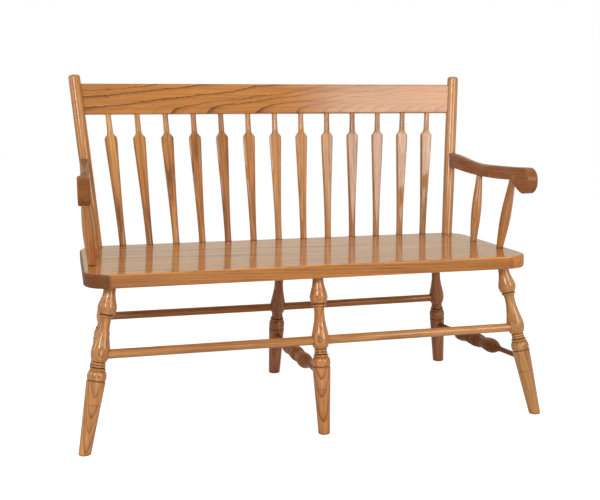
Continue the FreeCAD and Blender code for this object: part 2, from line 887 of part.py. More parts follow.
def seat_plank():
    plan = rounded_plan(seat_length, seat_front_y, seat_rear_y,
                        seat_front_corner_radius, seat_rear_corner_radius)
    plank = Part.Face(plan).extrude(vector(0, 0, seat_thickness))
    plank.translate(vector(0, 0, seat_underside))
    rims = [edge for edge in plank.Edges if edge.BoundBox.ZLength < 0.01]
    plank = plank.makeFillet(seat_edge_round, rims)
    for side in (-1, 0, 1):
        for rear in (False, True):
            head, foot = leg_axis(side, rear)
            plank = plank.cut(leg_tenon(head, foot, glue_gap, socket_end_gap))
    right_sockets = [post_tenon(glue_gap, socket_end_gap)]
    for front in (False, True):
        right_sockets.append(arm_spindle_tenons(front, glue_gap, socket_end_gap))
    for socket in right_sockets:
        plank = plank.cut(socket).cut(mirrored(socket))
    for number in range(spindle_count):
        plank = plank.cut(spindle_tenons(number, glue_gap, socket_end_gap))
    return plank


# The whole bench, piece by piece

def finished_leg(side, rear):
    """A leg with the sockets for its stretchers."""
    whole = leg(side, rear).cut(cross_stretcher_socket(side, rear))
    for stretcher_side in (-1, 1):
        if side in (0, stretcher_side):
            whole = whole.cut(long_stretcher(stretcher_side, rear, glue_gap, socket_end_gap))
    return whole


pieces = {"seat_plank": [seat_plank()], "crest_rail": [crest_rail()]}
side_names = {-1: "left", 0: "middle", 1: "right"}

for rear, row_name in ((False, "front"), (True, "rear")):
    for side, side_name in side_names.items():
        pieces[f"leg_{row_name}_{side_name}"] = [finished_leg(side, rear)]
    for side in (-1, 1):
        pieces[f"long_stretcher_{row_name}_{side_names[side]}"] = [long_stretcher(side, rear)]
for side, side_name in side_names.items():
    pieces[f"cross_stretcher_{side_name}"] = [cross_stretcher(side)]

for number in range(spindle_count):
    pieces[f"arrow_spindle_{number + 1:02d}"] = [spindle(number)]

right_end = {
    "back_post": post(),
    "arm": arm(),
    "arm_spindle_rear": arm_spindle(False),
    "arm_spindle_front": arm_spindle(True),
}
for name, shape in right_end.items():
    pieces[f"{name}_right"] = [shape]
    pieces[f"{name}_left"] = [mirrored(shape)]
pieces["arm_screws"] = [screw(), mirrored(screw())]
pieces["arm_screw_plugs"] = [plug(), mirrored(plug())]

# The origin goes to the floor under the middle of the bench
solids = {name: [single(shape) for shape in shapes] for name, shapes in pieces.items()}
boxes = [solid.optimalBoundingBox(False, False) for group in solids.values() for solid in group]
front_y = min(box.YMin for box in boxes)
rear_y = max(box.YMax for box in boxes)
to_origin = vector(0, -(front_y + rear_y) / 2, 0)
print("row of back spindles at Y", round(to_origin.y, 3))

os.makedirs("parts", exist_ok=True)
for name, group in solids.items():
    for solid in group:
        solid.translate(to_origin)
    shape = group[0] if len(group) == 1 else Part.makeCompound(group)
    shape.exportStep(f"parts/{name}.step")
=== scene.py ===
import math

import bpy
from mathutils import Matrix, Vector


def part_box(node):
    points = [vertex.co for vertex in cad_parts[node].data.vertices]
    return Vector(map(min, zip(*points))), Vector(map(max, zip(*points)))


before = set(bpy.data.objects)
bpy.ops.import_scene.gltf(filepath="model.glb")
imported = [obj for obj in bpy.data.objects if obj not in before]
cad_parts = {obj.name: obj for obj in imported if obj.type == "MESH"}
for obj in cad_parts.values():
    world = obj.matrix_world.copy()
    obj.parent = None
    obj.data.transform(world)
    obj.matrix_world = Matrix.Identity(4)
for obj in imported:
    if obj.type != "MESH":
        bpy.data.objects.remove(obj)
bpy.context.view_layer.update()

# Colours that all the oak pieces share
brown_heartwood = (0.20, 0.055, 0.016, 1.0)
yellow_sapwood = (0.58, 0.30, 0.075, 1.0)
ray_fleck = (0.78, 0.42, 0.16, 1.0)
stain_in_pores = (0.085, 0.022, 0.006, 1.0)
# Stain soaked into end grain; on the seat it also carries painted shade at the left end
stain_and_shade_in_end_grain = (0.105, 0.019, 0.008, 1.0)
# Stain and painted shade in joints, hollows and where parts meet
stain_and_shade_in_joints = (0.060, 0.014, 0.005, 1.0)
stain_in_seams = (0.10, 0.03, 0.012, 1.0)
# Lighter on edges and ridges: wear together with a painted highlight
worn_and_highlit_wood = (0.72, 0.36, 0.11, 1.0)
plain_white = (1.0, 1.0, 1.0, 1.0)
warm_white = (1.0, 0.97, 0.80, 1.0)

# Sizes in metres
seat_board_width = 0.104
joint_stain_and_shade_reach = 0.010
edge_wear_and_highlight_reach = 0.004
end_reach = 0.004
floor_width = 30.0


# Small helpers for laying out nodes
def feed(tree, socket, value):
    if isinstance(value, bpy.types.NodeSocket):
        tree.links.new(value, socket)
    elif value is not None:
        socket.default_value = value


def node(tree, kind, **settings):
    made = tree.nodes.new(kind)
    for name, value in settings.items():
        setattr(made, name, value)
    return made


def maths(tree, operation, first, second=None, third=None, clamp=False):
    made = node(tree, "ShaderNodeMath", operation=operation, use_clamp=clamp)
    for socket, value in zip(made.inputs, (first, second, third)):
        feed(tree, socket, value)
    return made.outputs[0]


def vector_maths(tree, operation, first, second=None):
    made = node(tree, "ShaderNodeVectorMath", operation=operation)
    feed(tree, made.inputs[0], first)
    feed(tree, made.inputs[1], second)
    return made.outputs["Value" if operation in ("LENGTH", "DOT_PRODUCT") else "Vector"]


def scaled(tree, vector, factor):
    made = node(tree, "ShaderNodeVectorMath", operation="SCALE")
    feed(tree, made.inputs[0], vector)
    feed(tree, made.inputs["Scale"], factor)
    return made.outputs["Vector"]


def parts_of(tree, vector):
    made = node(tree, "ShaderNodeSeparateXYZ")
    feed(tree, made.inputs[0], vector)
    return made.outputs


def vector_from(tree, x, y, z):
    made = node(tree, "ShaderNodeCombineXYZ")
    for socket, value in zip(made.inputs, (x, y, z)):
        feed(tree, socket, value)
    return made.outputs[0]


def cloud(tree, position, stretch, detail=2.0, roughness=0.5):
    """Smooth noise whose grains per metre along x, y and z are given by stretch."""
    made = node(tree, "ShaderNodeTexNoise")
    feed(tree, made.inputs["Vector"], vector_maths(tree, "MULTIPLY", position, stretch))
    feed(tree, made.inputs["Scale"], 1.0)
    feed(tree, made.inputs["Detail"], detail)
    feed(tree, made.inputs["Roughness"], roughness)
    return made


def ramp(tree, value, low, high, out_low=0.0, out_high=1.0, smooth=True):
    made = node(tree, "ShaderNodeMapRange", clamp=True)
    made.interpolation_type = "SMOOTHSTEP" if smooth else "LINEAR"
    for name, number in (("Value", value), ("From Min", low), ("From Max", high),
                         ("To Min", out_low), ("To Max", out_high)):
        feed(tree, made.inputs[name], number)
    return made.outputs["Result"]


def blend(tree, amount, first, second, how="MIX"):
    made = node(tree, "ShaderNodeMix", data_type="RGBA", blend_type=how)
    feed(tree, made.inputs["Factor"], amount)
    feed(tree, made.inputs[6], first)
    feed(tree, made.inputs[7], second)
    return made.outputs[2]


def group(name, inputs, outputs):
    tree = bpy.data.node_groups.new(name, "ShaderNodeTree")
    for label, kind, default in inputs:
        socket = tree.interface.new_socket(label, in_out="INPUT", socket_type="NodeSocket" + kind)
        if default is not None:
            socket.default_value = default
    for label, kind in outputs:
        tree.interface.new_socket(label, in_out="OUTPUT", socket_type="NodeSocket" + kind)
    entry = tree.nodes.new("NodeGroupInput")
    leave = tree.nodes.new("NodeGroupOutput")
    return tree, entry.outputs, leave.inputs


def use(tree, made_group, **values):
    made = node(tree, "ShaderNodeGroup", node_tree=made_group)
    for name, value in values.items():
        feed(tree, made.inputs[name.replace("_", " ")], value)
    return made.outputs


def blank(owner):
    """Clear the node tree of a material, a lamp or the studio air."""
    owner.use_nodes = True
    owner.node_tree.nodes.clear()
    return owner.node_tree


def end_with(tree, shader, kind="ShaderNodeOutputMaterial"):
    finish = node(tree, kind)
    tree.links.new(shader.outputs[0], finish.inputs["Surface"])


def relief(tree, height, strength, distance):
    made = node(tree, "ShaderNodeBump")
    made.inputs["Strength"].default_value = strength
    made.inputs["Distance"].default_value = distance
    feed(tree, made.inputs["Height"], height)
    return made.outputs[0]


# One growth ring after another: a dark edge that fades outwards
def make_ring_lines():
    tree, given, out = group(
        "Ring lines",
        [("Phase", "Float", 0.0), ("Fade", "Float", 2.2), ("Edge", "Float", 0.08),
         ("Faintest", "Float", 0.45)],
        [("Mask", "Float")])
    across = maths(tree, "FRACT", given["Phase"])
    number = maths(tree, "FLOOR", given["Phase"])
    chance = node(tree, "ShaderNodeTexWhiteNoise", noise_dimensions="1D")
    feed(tree, chance.inputs["W"], number)
    strength = ramp(tree, chance.outputs["Value"], 0.0, 1.0, given["Faintest"], 1.0, smooth=False)
    rise = ramp(tree, across, 0.0, given["Edge"])
    fall = maths(tree, "POWER", maths(tree, "SUBTRACT", 1.0, across), given["Fade"])
    line = maths(tree, "MULTIPLY", maths(tree, "MULTIPLY", rise, fall), strength)
    feed(tree, out["Mask"], line)
    return tree


# A place in the log, moved about a little so that no ring is a true circle
def make_wander():
    tree, given, out = group(
        "Grain wander",
        [("Position", "Vector", None), ("Wander", "Float", 0.006)],
        [("Position", "Vector")])
    slow = cloud(tree, given["Position"], (8.0, 8.0, 1.5)).outputs["Color"]
    slow = vector_maths(tree, "SUBTRACT", slow, (0.5, 0.5, 0.5))
    fine = cloud(tree, given["Position"], (75.0, 75.0, 9.0)).outputs["Color"]
    fine = vector_maths(tree, "SUBTRACT", fine, (0.5, 0.5, 0.5))
    place = vector_maths(tree, "ADD", given["Position"], scaled(tree, slow, given["Wander"]))
    place = vector_maths(tree, "ADD", place, scaled(tree, fine, 0.0016))
    feed(tree, out["Position"], place)
    return tree


# Rings of a log whose heart runs along z
def make_log_rings(ring_lines):
    tree, given, out = group(
        "Log rings",
        [("Position", "Vector", None), ("Ring Width", "Float", 0.004), ("Fade", "Float", 2.2)],
        [("Mask", "Float")])
    place = parts_of(tree, given["Position"])
    radius = vector_maths(tree, "LENGTH", vector_from(tree, place["X"], place["Y"], 0.0))
    years = node(tree, "ShaderNodeTexNoise", noise_dimensions="1D")
    feed(tree, years.inputs["W"], radius)
    feed(tree, years.inputs["Scale"], 55.0)
    feed(tree, years.inputs["Detail"], 1.0)
    uneven = maths(tree, "MULTIPLY", maths(tree, "SUBTRACT", years.outputs[0], 0.5), 3.2)
    phase = maths(tree, "ADD", maths(tree, "DIVIDE", radius, given["Ring Width"]), uneven)
    lines = use(tree, ring_lines, Phase=phase, Fade=given["Fade"])
    feed(tree, out["Mask"], lines["Mask"])
    return tree


# Pores, ray flecks, streaks and slow drifts of tone along the grain
def make_grain_marks():
    tree, given, out = group(
        "Grain marks",
        [("Position", "Vector", None), ("Rings", "Float", 0.5)],
        [("Pores", "Float"), ("Rays", "Float"), ("Streaks", "Float"), ("Drift", "Float")])
    place = given["Position"]
    specks = cloud(tree, place, (820.0, 820.0, 34.0), detail=1.0).outputs[0]
    dashes = cloud(tree, place, (330.0, 330.0, 16.0), detail=1.0).outputs[0]
    found = maths(tree, "MAXIMUM", ramp(tree, specks, 0.56, 0.70), ramp(tree, dashes, 0.62, 0.72))
    crowd = ramp(tree, given["Rings"], 0.0, 0.6, 0.30, 1.0)
    feed(tree, out["Pores"], maths(tree, "MULTIPLY", found, crowd))
    parts = parts_of(tree, place)
    turn = maths(tree, "ARCTAN2", parts["Y"], parts["X"])
    radius = vector_maths(tree, "LENGTH", vector_from(tree, parts["X"], parts["Y"], 0.0))
    fan = vector_from(tree, turn, radius, parts["Z"])
    flecks = cloud(tree, fan, (95.0, 28.0, 38.0), detail=1.0).outputs[0]
    feed(tree, out["Rays"], ramp(tree, flecks, 0.62, 0.70))
    streaks = cloud(tree, place, (150.0, 150.0, 2.6), detail=4.0, roughness=0.62).outputs[0]
    feed(tree, out["Streaks"], streaks)
    drift = cloud(tree, place, (9.0, 9.0, 2.2), detail=2.0).outputs[0]
    feed(tree, out["Drift"], drift)
    return tree


# Stain that gathers in grooves and joints together with painted shade where parts meet and in
# hollows, stain that soaks deeper into end grain, and lighter edges that are partly wear and partly a
# painted highlight
def make_stain_and_shade_marks():
    tree, given, out = group(
        "Stain and shade marks",
        [("Along", "Vector", (0.0, 0.0, 1.0)), ("End Grain From", "Float", 0.35),
         ("End Grain Spread", "Float", 0.5)],
        [("Joint Stain And Shade", "Float"), ("End Grain", "Float"), ("Edge Wear And Highlight", "Float")])
    # Painted shade with gathered stain: darker wherever another part or a hollow lies within reach
    shelter = node(tree, "ShaderNodeAmbientOcclusion", samples=6)
    feed(tree, shelter.inputs["Distance"], joint_stain_and_shade_reach)
    feed(tree, out["Joint Stain And Shade"], ramp(tree, shelter.outputs["AO"], 0.40, 0.92, 1.0, 0.0))
    # Lighter on edges and ridges: wear together with a painted highlight
    ridge = node(tree, "ShaderNodeAmbientOcclusion", samples=6, inside=True, only_local=True)
    feed(tree, ridge.inputs["Distance"], edge_wear_and_highlight_reach)
    feed(tree, out["Edge Wear And Highlight"], ramp(tree, ridge.outputs["AO"], 0.25, 0.70))
    facing = node(tree, "ShaderNodeNewGeometry").outputs["Normal"]
    slant = maths(tree, "ABSOLUTE", vector_maths(tree, "DOT_PRODUCT", facing, given["Along"]))
    full = maths(tree, "ADD", given["End Grain From"], given["End Grain Spread"])
    feed(tree, out["End Grain"], ramp(tree, slant, given["End Grain From"], full))
    return tree


# The finished surface: colour, dullness, thickness of lacquer and relief
def make_stained_oak(stain_and_shade_tree, marks):
    tree, given, out = group(
        "Stained oak",
        [("Position", "Vector", None), ("Rings", "Float", 0.0), ("Along", "Vector", (0, 0, 1)),
         ("Pale Wood", "Color", (0.50, 0.20, 0.05, 1.0)),
         ("Dark Wood", "Color", (0.20, 0.06, 0.015, 1.0)),
         ("Ring Depth", "Float", 0.8), ("Streak Depth", "Float", 0.5), ("Variety", "Float", 0.3),
         ("Pore Depth", "Float", 0.6), ("Lacquer", "Float", 0.9),
         ("End Grain From", "Float", 0.35), ("End Grain Spread", "Float", 0.5),
         ("End Grain Depth", "Float", 0.6)],
        [("Color", "Color"), ("Roughness", "Float"), ("Lacquer", "Float"), ("Relief", "Float")])
    mark = use(tree, marks, Position=given["Position"], Rings=given["Rings"])
    stain_and_shade = use(tree, stain_and_shade_tree, Along=given["Along"], End_Grain_From=given["End Grain From"],
               End_Grain_Spread=given["End Grain Spread"])
    # Brown heartwood and yellow sapwood run through the pale wood
    patch = cloud(tree, given["Position"], (64.0, 64.0, 5.5), detail=3.0).outputs[0]
    brown = maths(tree, "MULTIPLY", ramp(tree, patch, 0.50, 0.66), given["Variety"])
    yellow = maths(tree, "MULTIPLY", ramp(tree, patch, 0.50, 0.36), given["Variety"])
    colour = blend(tree, brown, given["Pale Wood"], brown_heartwood)
    colour = blend(tree, maths(tree, "MULTIPLY", yellow, 0.7), colour, yellow_sapwood)
    ring_amount = maths(tree, "MULTIPLY", given["Rings"], given["Ring Depth"], clamp=True)
    colour = blend(tree, ring_amount, colour, given["Dark Wood"])
    streak = ramp(tree, mark["Streaks"], 0.30, 0.70, smooth=False)
    streak = maths(tree, "SUBTRACT", streak, 0.5)
    lift = maths(tree, "MULTIPLY_ADD", streak, given["Streak Depth"], 1.0)
    drift = maths(tree, "MULTIPLY_ADD", maths(tree, "SUBTRACT", mark["Drift"], 0.5), 0.5, 1.0)
    lift = maths(tree, "MULTIPLY", lift, drift)
    warm = vector_from(tree, lift, maths(tree, "POWER", lift, 1.25), maths(tree, "POWER", lift, 1.6))
    colour = blend(tree, 1.0, colour, warm, "MULTIPLY")
    rays = maths(tree, "MULTIPLY", mark["Rays"], 0.18)
    colour = blend(tree, rays, colour, ray_fleck)
    pores = maths(tree, "MULTIPLY", mark["Pores"], given["Pore Depth"])
    colour = blend(tree, pores, colour, stain_in_pores)
    # End grain takes more stain; on the seat this also carries painted shade at the left end
    end_grain_stain_and_shade = maths(tree, "MULTIPLY", stain_and_shade["End Grain"], given["End Grain Depth"])
    colour = blend(tree, end_grain_stain_and_shade, colour, stain_and_shade_in_end_grain)
    # Joints and hollows darkened by gathered stain together with painted shade where parts meet
    joint_stain_and_shade = maths(tree, "MULTIPLY", stain_and_shade["Joint Stain And Shade"], 0.92)
    colour = blend(tree, joint_stain_and_shade, colour, stain_and_shade_in_joints)
    # Edges and ridges lightened: wear together with a painted highlight
    edge_wear_and_highlight = maths(tree, "MULTIPLY", stain_and_shade["Edge Wear And Highlight"], 0.14)
    colour = blend(tree, edge_wear_and_highlight, colour, worn_and_highlit_wood)
    feed(tree, out["Color"], colour)
    dull = maths(tree, "MULTIPLY_ADD", mark["Pores"], 0.22, 0.34)
    dull = maths(tree, "MULTIPLY_ADD", stain_and_shade["End Grain"], 0.12, dull)
    feed(tree, out["Roughness"], dull)
    thin = maths(tree, "MULTIPLY_ADD", mark["Pores"], -0.35, 1.0)
    thin = maths(tree, "MULTIPLY_ADD", stain_and_shade["Joint Stain And Shade"], -0.5, thin)
    thin = maths(tree, "MULTIPLY_ADD", end_grain_stain_and_shade, -0.7, thin)
    feed(tree, out["Lacquer"], maths(tree, "MULTIPLY", thin, given["Lacquer"], clamp=True))
    sunk = maths(tree, "MULTIPLY_ADD", given["Rings"], 0.4, mark["Pores"])
    feed(tree, out["Relief"], maths(tree, "SUBTRACT", 1.0, sunk))
    return tree


# Boards glued side by side, each cut from another place in another log
def make_glued_boards():
    tree, given, out = group(
        "Glued boards",
        [("Position", "Vector", None), ("First Edge", "Float", 0.0)],
        [("Position", "Vector"), ("Joint", "Float")])
    parts = parts_of(tree, given["Position"])
    from_edge = maths(tree, "SUBTRACT", parts["Y"], given["First Edge"])
    count = maths(tree, "DIVIDE", from_edge, seat_board_width)
    number = maths(tree, "FLOOR", count)
    chance = node(tree, "ShaderNodeTexWhiteNoise", noise_dimensions="1D")
    feed(tree, chance.inputs["W"], number)
    shift = vector_maths(tree, "MULTIPLY", chance.outputs["Color"], (3.0, 0.09, 0.02))
    inside = maths(tree, "SUBTRACT", maths(tree, "SUBTRACT", count, number), 0.5)
    across = maths(tree, "MULTIPLY", inside, seat_board_width)
    local = vector_from(tree, parts["X"], across, parts["Z"])
    feed(tree, out["Position"], vector_maths(tree, "ADD", local, shift))
    edge = maths(tree, "SUBTRACT", 0.5, maths(tree, "ABSOLUTE", inside))
    edge = maths(tree, "MULTIPLY", edge, seat_board_width)
    feed(tree, out["Joint"], ramp(tree, edge, 0.0003, 0.0011, 1.0, 0.0))
    return tree


# The crest's own figure: long lines that rise to the right from noses at the bottom edge
def make_crest_rings(ring_lines, foot_height, front):
    tree, given, out = group(
        "Crest rings",
        [("Position", "Vector", None)],
        [("Mask", "Float")])
    wobble = cloud(tree, given["Position"], (11.0, 20.0, 26.0), detail=3.0).outputs[0]
    ripple = cloud(tree, given["Position"], (75.0, 90.0, 190.0), detail=3.0, roughness=0.65)
    ripple = ripple.outputs[0]
    parts = parts_of(tree, given["Position"])
    up = maths(tree, "SUBTRACT", parts["Z"], foot_height)
    up = maths(tree, "MULTIPLY_ADD", maths(tree, "SUBTRACT", wobble, 0.5), 0.018, up)
    up = maths(tree, "MULTIPLY_ADD", maths(tree, "SUBTRACT", ripple, 0.5), 0.0070, up)
    # Left of this place the lines lie almost flat
    flat_until, flat_share = -0.48, 0.33
    side = maths(tree, "MULTIPLY_ADD", maths(tree, "SUBTRACT", parts["X"], flat_until), flat_share,
                 flat_until)
    side = maths(tree, "MAXIMUM", parts["X"], side)
    # A line leans over its nose, then bends into its long slope
    nose_lean, bend_height, bend_softness = 1.3, 0.026, 0.02
    slope = ramp(tree, parts["X"], -0.50, 0.20, 0.108, 0.150, smooth=False)
    climb = maths(tree, "SMOOTH_MAX", maths(tree, "SUBTRACT", up, bend_height), 0.0, bend_softness)
    run = maths(tree, "MULTIPLY_ADD", up, nose_lean, maths(tree, "DIVIDE", climb, slope))
    level = maths(tree, "SUBTRACT", side, run)
    slant_into_board = 2.0
    behind = maths(tree, "SUBTRACT", parts["Y"], front)
    level = maths(tree, "MULTIPLY_ADD", behind, slant_into_board, level)
    # Places along the bottom edge where the lines begin, closer together to the right
    steps = node(tree, "ShaderNodeFloatCurve")
    noses = (-1.30, -1.035, -0.864, -0.577, -0.335, -0.225, -0.07, 0.06, 0.147, 0.20, 0.25, 0.31,
             0.365, 0.42, 0.47, 0.53, 0.60)
    last = len(noses) - 1
    curve = steps.mapping.curves[0]
    while len(curve.points) < len(noses):
        curve.points.new(0.5, 0.5)
    for point, (number, place) in zip(curve.points, enumerate(noses)):
        point.location = ((place - noses[0]) / (noses[-1] - noses[0]), number / last)
        point.handle_type = "VECTOR"
    steps.mapping.update()
    feed(tree, steps.inputs["Value"], ramp(tree, level, noses[0], noses[-1], smooth=False))
    phase = maths(tree, "MULTIPLY", steps.outputs["Value"], float(last))
    bold = use(tree, ring_lines, Phase=phase, Fade=9.0, Edge=0.04, Faintest=0.8)["Mask"]
    boldest = ramp(tree, parts["X"], -0.05, 0.25, 2.3, 1.0)
    bold = maths(tree, "MULTIPLY", bold, boldest, clamp=True)
    between = maths(tree, "MULTIPLY", phase, 4.0)
    faint = use(tree, ring_lines, Phase=between, Fade=3.0, Edge=0.15, Faintest=0.1)["Mask"]
    feed(tree, out["Mask"], maths(tree, "MULTIPLY_ADD", faint, 0.35, bold, clamp=True))
    return tree


ring_lines = make_ring_lines()
grain_wander = make_wander()
log_rings = make_log_rings(ring_lines)
grain_marks = make_grain_marks()
stain_and_shade_marks = make_stain_and_shade_marks()
stained_oak = make_stained_oak(stain_and_shade_marks, grain_marks)
glued_boards = make_glued_boards()
crest_rings = make_crest_rings(ring_lines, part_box("crest_rail")[0][2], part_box("crest_rail")[0][1])


# Where a piece's grain runs
def node_mesh(name):
    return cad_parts[name]


def ends_of(name, axis):
    """Middles of a piece's low and high ends along an axis, from the points close to them."""
    points = [vertex.co for vertex in node_mesh(name).data.vertices]
    low = min(point[axis] for point in points)
    high = max(point[axis] for point in points)
    ends = []
    for level in (low, high):
        near = [point for point in points if abs(point[axis] - level) < end_reach]
        ends.append(sum(near, Vector()) / len(near))
    return ends


def log_place(name, axis, heart, away, slip, lean):
    """Place and turn of the log: its z runs along the piece and its heart lies the given way."""
    low, high = ends_of(name, axis)
    along = (high - low).normalized()
    towards = Vector(heart)
    towards = (towards - along * towards.dot(along)).normalized()
    across = along.cross(towards)
    spin = Matrix((towards, across, along)).transposed()
    middle = (low + high) / 2 + towards * away
    spin = spin @ Matrix.Rotation(lean, 3, "Y")
    return along, middle + along * slip, spin.to_euler()


# One oak material for each piece
def oak(title, name, axis, pale=(0.50, 0.19, 0.040), dark=(0.17, 0.045, 0.009), heart=(0.3, 1.0, 0.2),
        away=0.075, slip=0.0, lean=0.0, ring_width=0.0042, ring_depth=0.75, fade=3.0,
        streak_depth=0.6, variety=0.3, pore_depth=0.5, lacquer=0.9, end_grain_from=0.35,
        end_grain_spread=0.5, end_grain_stain_and_shade_depth=0.6, figure="log"):
    material = bpy.data.materials.new(title)
    tree = blank(material)
    along, middle, spin = log_place(name, axis, heart, away, slip, lean)
    place = node(tree, "ShaderNodeTexCoord").outputs["Object"]
    coords = place
    joint = None
    if figure == "boards":
        boards = use(tree, glued_boards, Position=place, First_Edge=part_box(name)[0][1])
        place, joint = boards["Position"], boards["Joint"]
    into_log = node(tree, "ShaderNodeMapping", vector_type="TEXTURE")
    feed(tree, into_log.inputs["Vector"], place)
    into_log.inputs["Location"].default_value = middle
    into_log.inputs["Rotation"].default_value = spin
    place_in_log = use(tree, grain_wander, Position=into_log.outputs[0])["Position"]
    if figure == "crest":
        rings = use(tree, crest_rings, Position=coords)["Mask"]
    else:
        rings = use(tree, log_rings, Position=place_in_log, Ring_Width=ring_width, Fade=fade)["Mask"]
    # On the seat the end-grain darkening is painted strongest at the left end and falls to a quarter
    # at the right end: painted shade on the end away from the lamp on the right
    if figure == "boards":
        side = parts_of(tree, coords)["X"]
        end_grain_stain_and_shade_depth = ramp(tree, side, -0.40, 0.40, end_grain_stain_and_shade_depth, 0.25 * end_grain_stain_and_shade_depth)
    surface = use(tree, stained_oak, Position=place_in_log, Rings=rings, Along=along,
                  Pale_Wood=(*pale, 1.0), Dark_Wood=(*dark, 1.0), Ring_Depth=ring_depth,
                  Streak_Depth=streak_depth, Variety=variety, Pore_Depth=pore_depth,
                  Lacquer=lacquer, End_Grain_From=end_grain_from,
                  End_Grain_Spread=end_grain_spread, End_Grain_Depth=end_grain_stain_and_shade_depth)
    colour = surface["Color"]
    if joint is not None:
        seam = maths(tree, "MULTIPLY", joint, 0.45)
        colour = blend(tree, seam, colour, stain_in_seams)
    shader = node(tree, "ShaderNodeBsdfPrincipled")
    feed(tree, shader.inputs["Base Color"], colour)
    feed(tree, shader.inputs["Roughness"], surface["Roughness"])
    feed(tree, shader.inputs["Coat Weight"], surface["Lacquer"])
    shader.inputs["Specular IOR Level"].default_value = 0.08
    shader.inputs["Coat Roughness"].default_value = 0.10
    shader.inputs["Coat IOR"].default_value = 1.5
    feed(tree, shader.inputs["Normal"], relief(tree, surface["Relief"], 0.35, 0.0004))
    end_with(tree, shader)
    return material


def wear(name, material):
    for slot in node_mesh(name).material_slots:
        slot.material = material


# Seat and crest
wear("seat_plank", oak(
    "Oak seat boards", "seat_plank", 0, pale=(0.78, 0.275, 0.034), dark=(0.26, 0.055, 0.009),
    heart=(0.0, 0.0, -1.0), away=0.11, ring_width=0.0060, ring_depth=0.75, lean=0.03, fade=4.0,
    pore_depth=0.70, variety=0.15, lacquer=0.85, end_grain_from=0.02, end_grain_spread=0.12,
    end_grain_stain_and_shade_depth=0.97, figure="boards"))
wear("crest_rail", oak(
    "Oak crest", "crest_rail", 0, pale=(0.59, 0.215, 0.038), dark=(0.15, 0.030, 0.003),
    away=0.09, ring_depth=1.0, streak_depth=0.45, variety=0.0, pore_depth=0.45, figure="crest"))

# Legs: the heart lies behind the front ones, so that their rings show as pointed arches.
# Each row: name, pale wood, way to the log's heart, place along the log, variety, ring depth
# The pale tones follow how bright each leg looks under the seat: the rear middle and rear right ones
# are painted darker as painted shade, and the rear left one paler to lift the shade on it
legs = [
    ("leg_front_left", (0.60, 0.25, 0.072), (0.0, 1.0, 0.0), 0.0, 0.25, 1.3),
    ("leg_front_middle", (0.57, 0.212, 0.055), (0.3, 1.0, 0.0), 0.8, 0.25, 1.8),
    ("leg_front_right", (0.53, 0.235, 0.070), (1.0, -0.5, 0.0), 1.7, 0.20, 0.7),
    ("leg_rear_left", (0.88, 0.36, 0.088), (0.4, 1.0, 0.0), 2.6, 0.3, 1.0),
    ("leg_rear_middle", (0.40, 0.115, 0.027), (0.5, 1.0, 0.0), 3.5, 0.9, 1.9),
    ("leg_rear_right", (0.33, 0.088, 0.022), (-0.8, 0.6, 0.0), 4.4, 0.5, 1.2),
]
for name, pale, heart, slip, variety, ring_depth in legs:
    wear(name, oak("Oak " + name.replace("_", " "), name, 2, pale=pale, dark=(0.19, 0.040, 0.006),
                   heart=heart, slip=slip, away=0.055, ring_width=0.0045, lean=0.035, fade=4.5,
                   ring_depth=ring_depth, variety=variety))

# Stretchers: the cross ones are duller, as little lacquer reached their turned rings.
# Each row: name, axis, pale wood, way to the log's heart, place along the log, lacquer
# The pale tones follow how bright each stretcher looks: the rear left one and the cross ones, the
# right one most, are painted darker as painted shade under the seat
stretchers = [
    ("long_stretcher_front_left", 0, (0.55, 0.225, 0.060), (0.0, 0.3, -1.0), 5.3, 0.8),
    ("long_stretcher_front_right", 0, (0.57, 0.24, 0.064), (0.0, 1.0, 0.4), 6.1, 0.8),
    ("long_stretcher_rear_left", 0, (0.42, 0.14, 0.032), (0.0, 1.0, -0.5), 7.2, 0.6),
    ("long_stretcher_rear_right", 0, (0.54, 0.20, 0.050), (0.0, -0.3, 1.0), 8.0, 0.6),
    ("cross_stretcher_left", 1, (0.30, 0.080, 0.018), (1.0, 0.0, 0.4), 8.8, 0.2),
    ("cross_stretcher_middle", 1, (0.30, 0.078, 0.018), (-1.0, 0.0, 0.2), 9.7, 0.2),
    ("cross_stretcher_right", 1, (0.11, 0.020, 0.008), (0.6, 0.0, -1.0), 10.6, 0.12),
]
for name, axis, pale, heart, slip, lacquer in stretchers:
    wear(name, oak("Oak " + name.replace("_", " "), name, axis, pale=pale, heart=heart, slip=slip,
                   away=0.05, ring_width=0.0045, lean=0.02, lacquer=lacquer))

# Back spindles, browner at the left and paler at the right
spindle_tones = [
    (0.60, 0.26, 0.080), (0.55, 0.20, 0.046), (0.53, 0.20, 0.052), (0.50, 0.18, 0.044),
    (0.41, 0.135, 0.040), (0.56, 0.235, 0.070), (0.64, 0.31, 0.120), (0.60, 0.255, 0.075),
    (0.60, 0.27, 0.090), (0.46, 0.185, 0.060), (0.50, 0.215, 0.070), (0.53, 0.235, 0.080),
    (0.62, 0.30, 0.115),
]
spindle_variety = [0.6, 0.9, 1.0, 0.9, 0.45, 0.4, 0.25, 0.3, 0.2, 0.5, 0.25, 0.35, 0.3]
for number, (pale, variety) in enumerate(zip(spindle_tones, spindle_variety), start=1):
    name = f"arrow_spindle_{number:02d}"
    turn = 1.7 * number
    wear(name, oak(f"Oak back spindle {number}", name, 2, pale=pale, slip=0.9 * number,
                   heart=(math.cos(turn), math.sin(turn), 0.0), away=0.05, ring_width=0.0048,
                   lean=0.025, ring_depth=1.0, streak_depth=0.85, variety=variety))

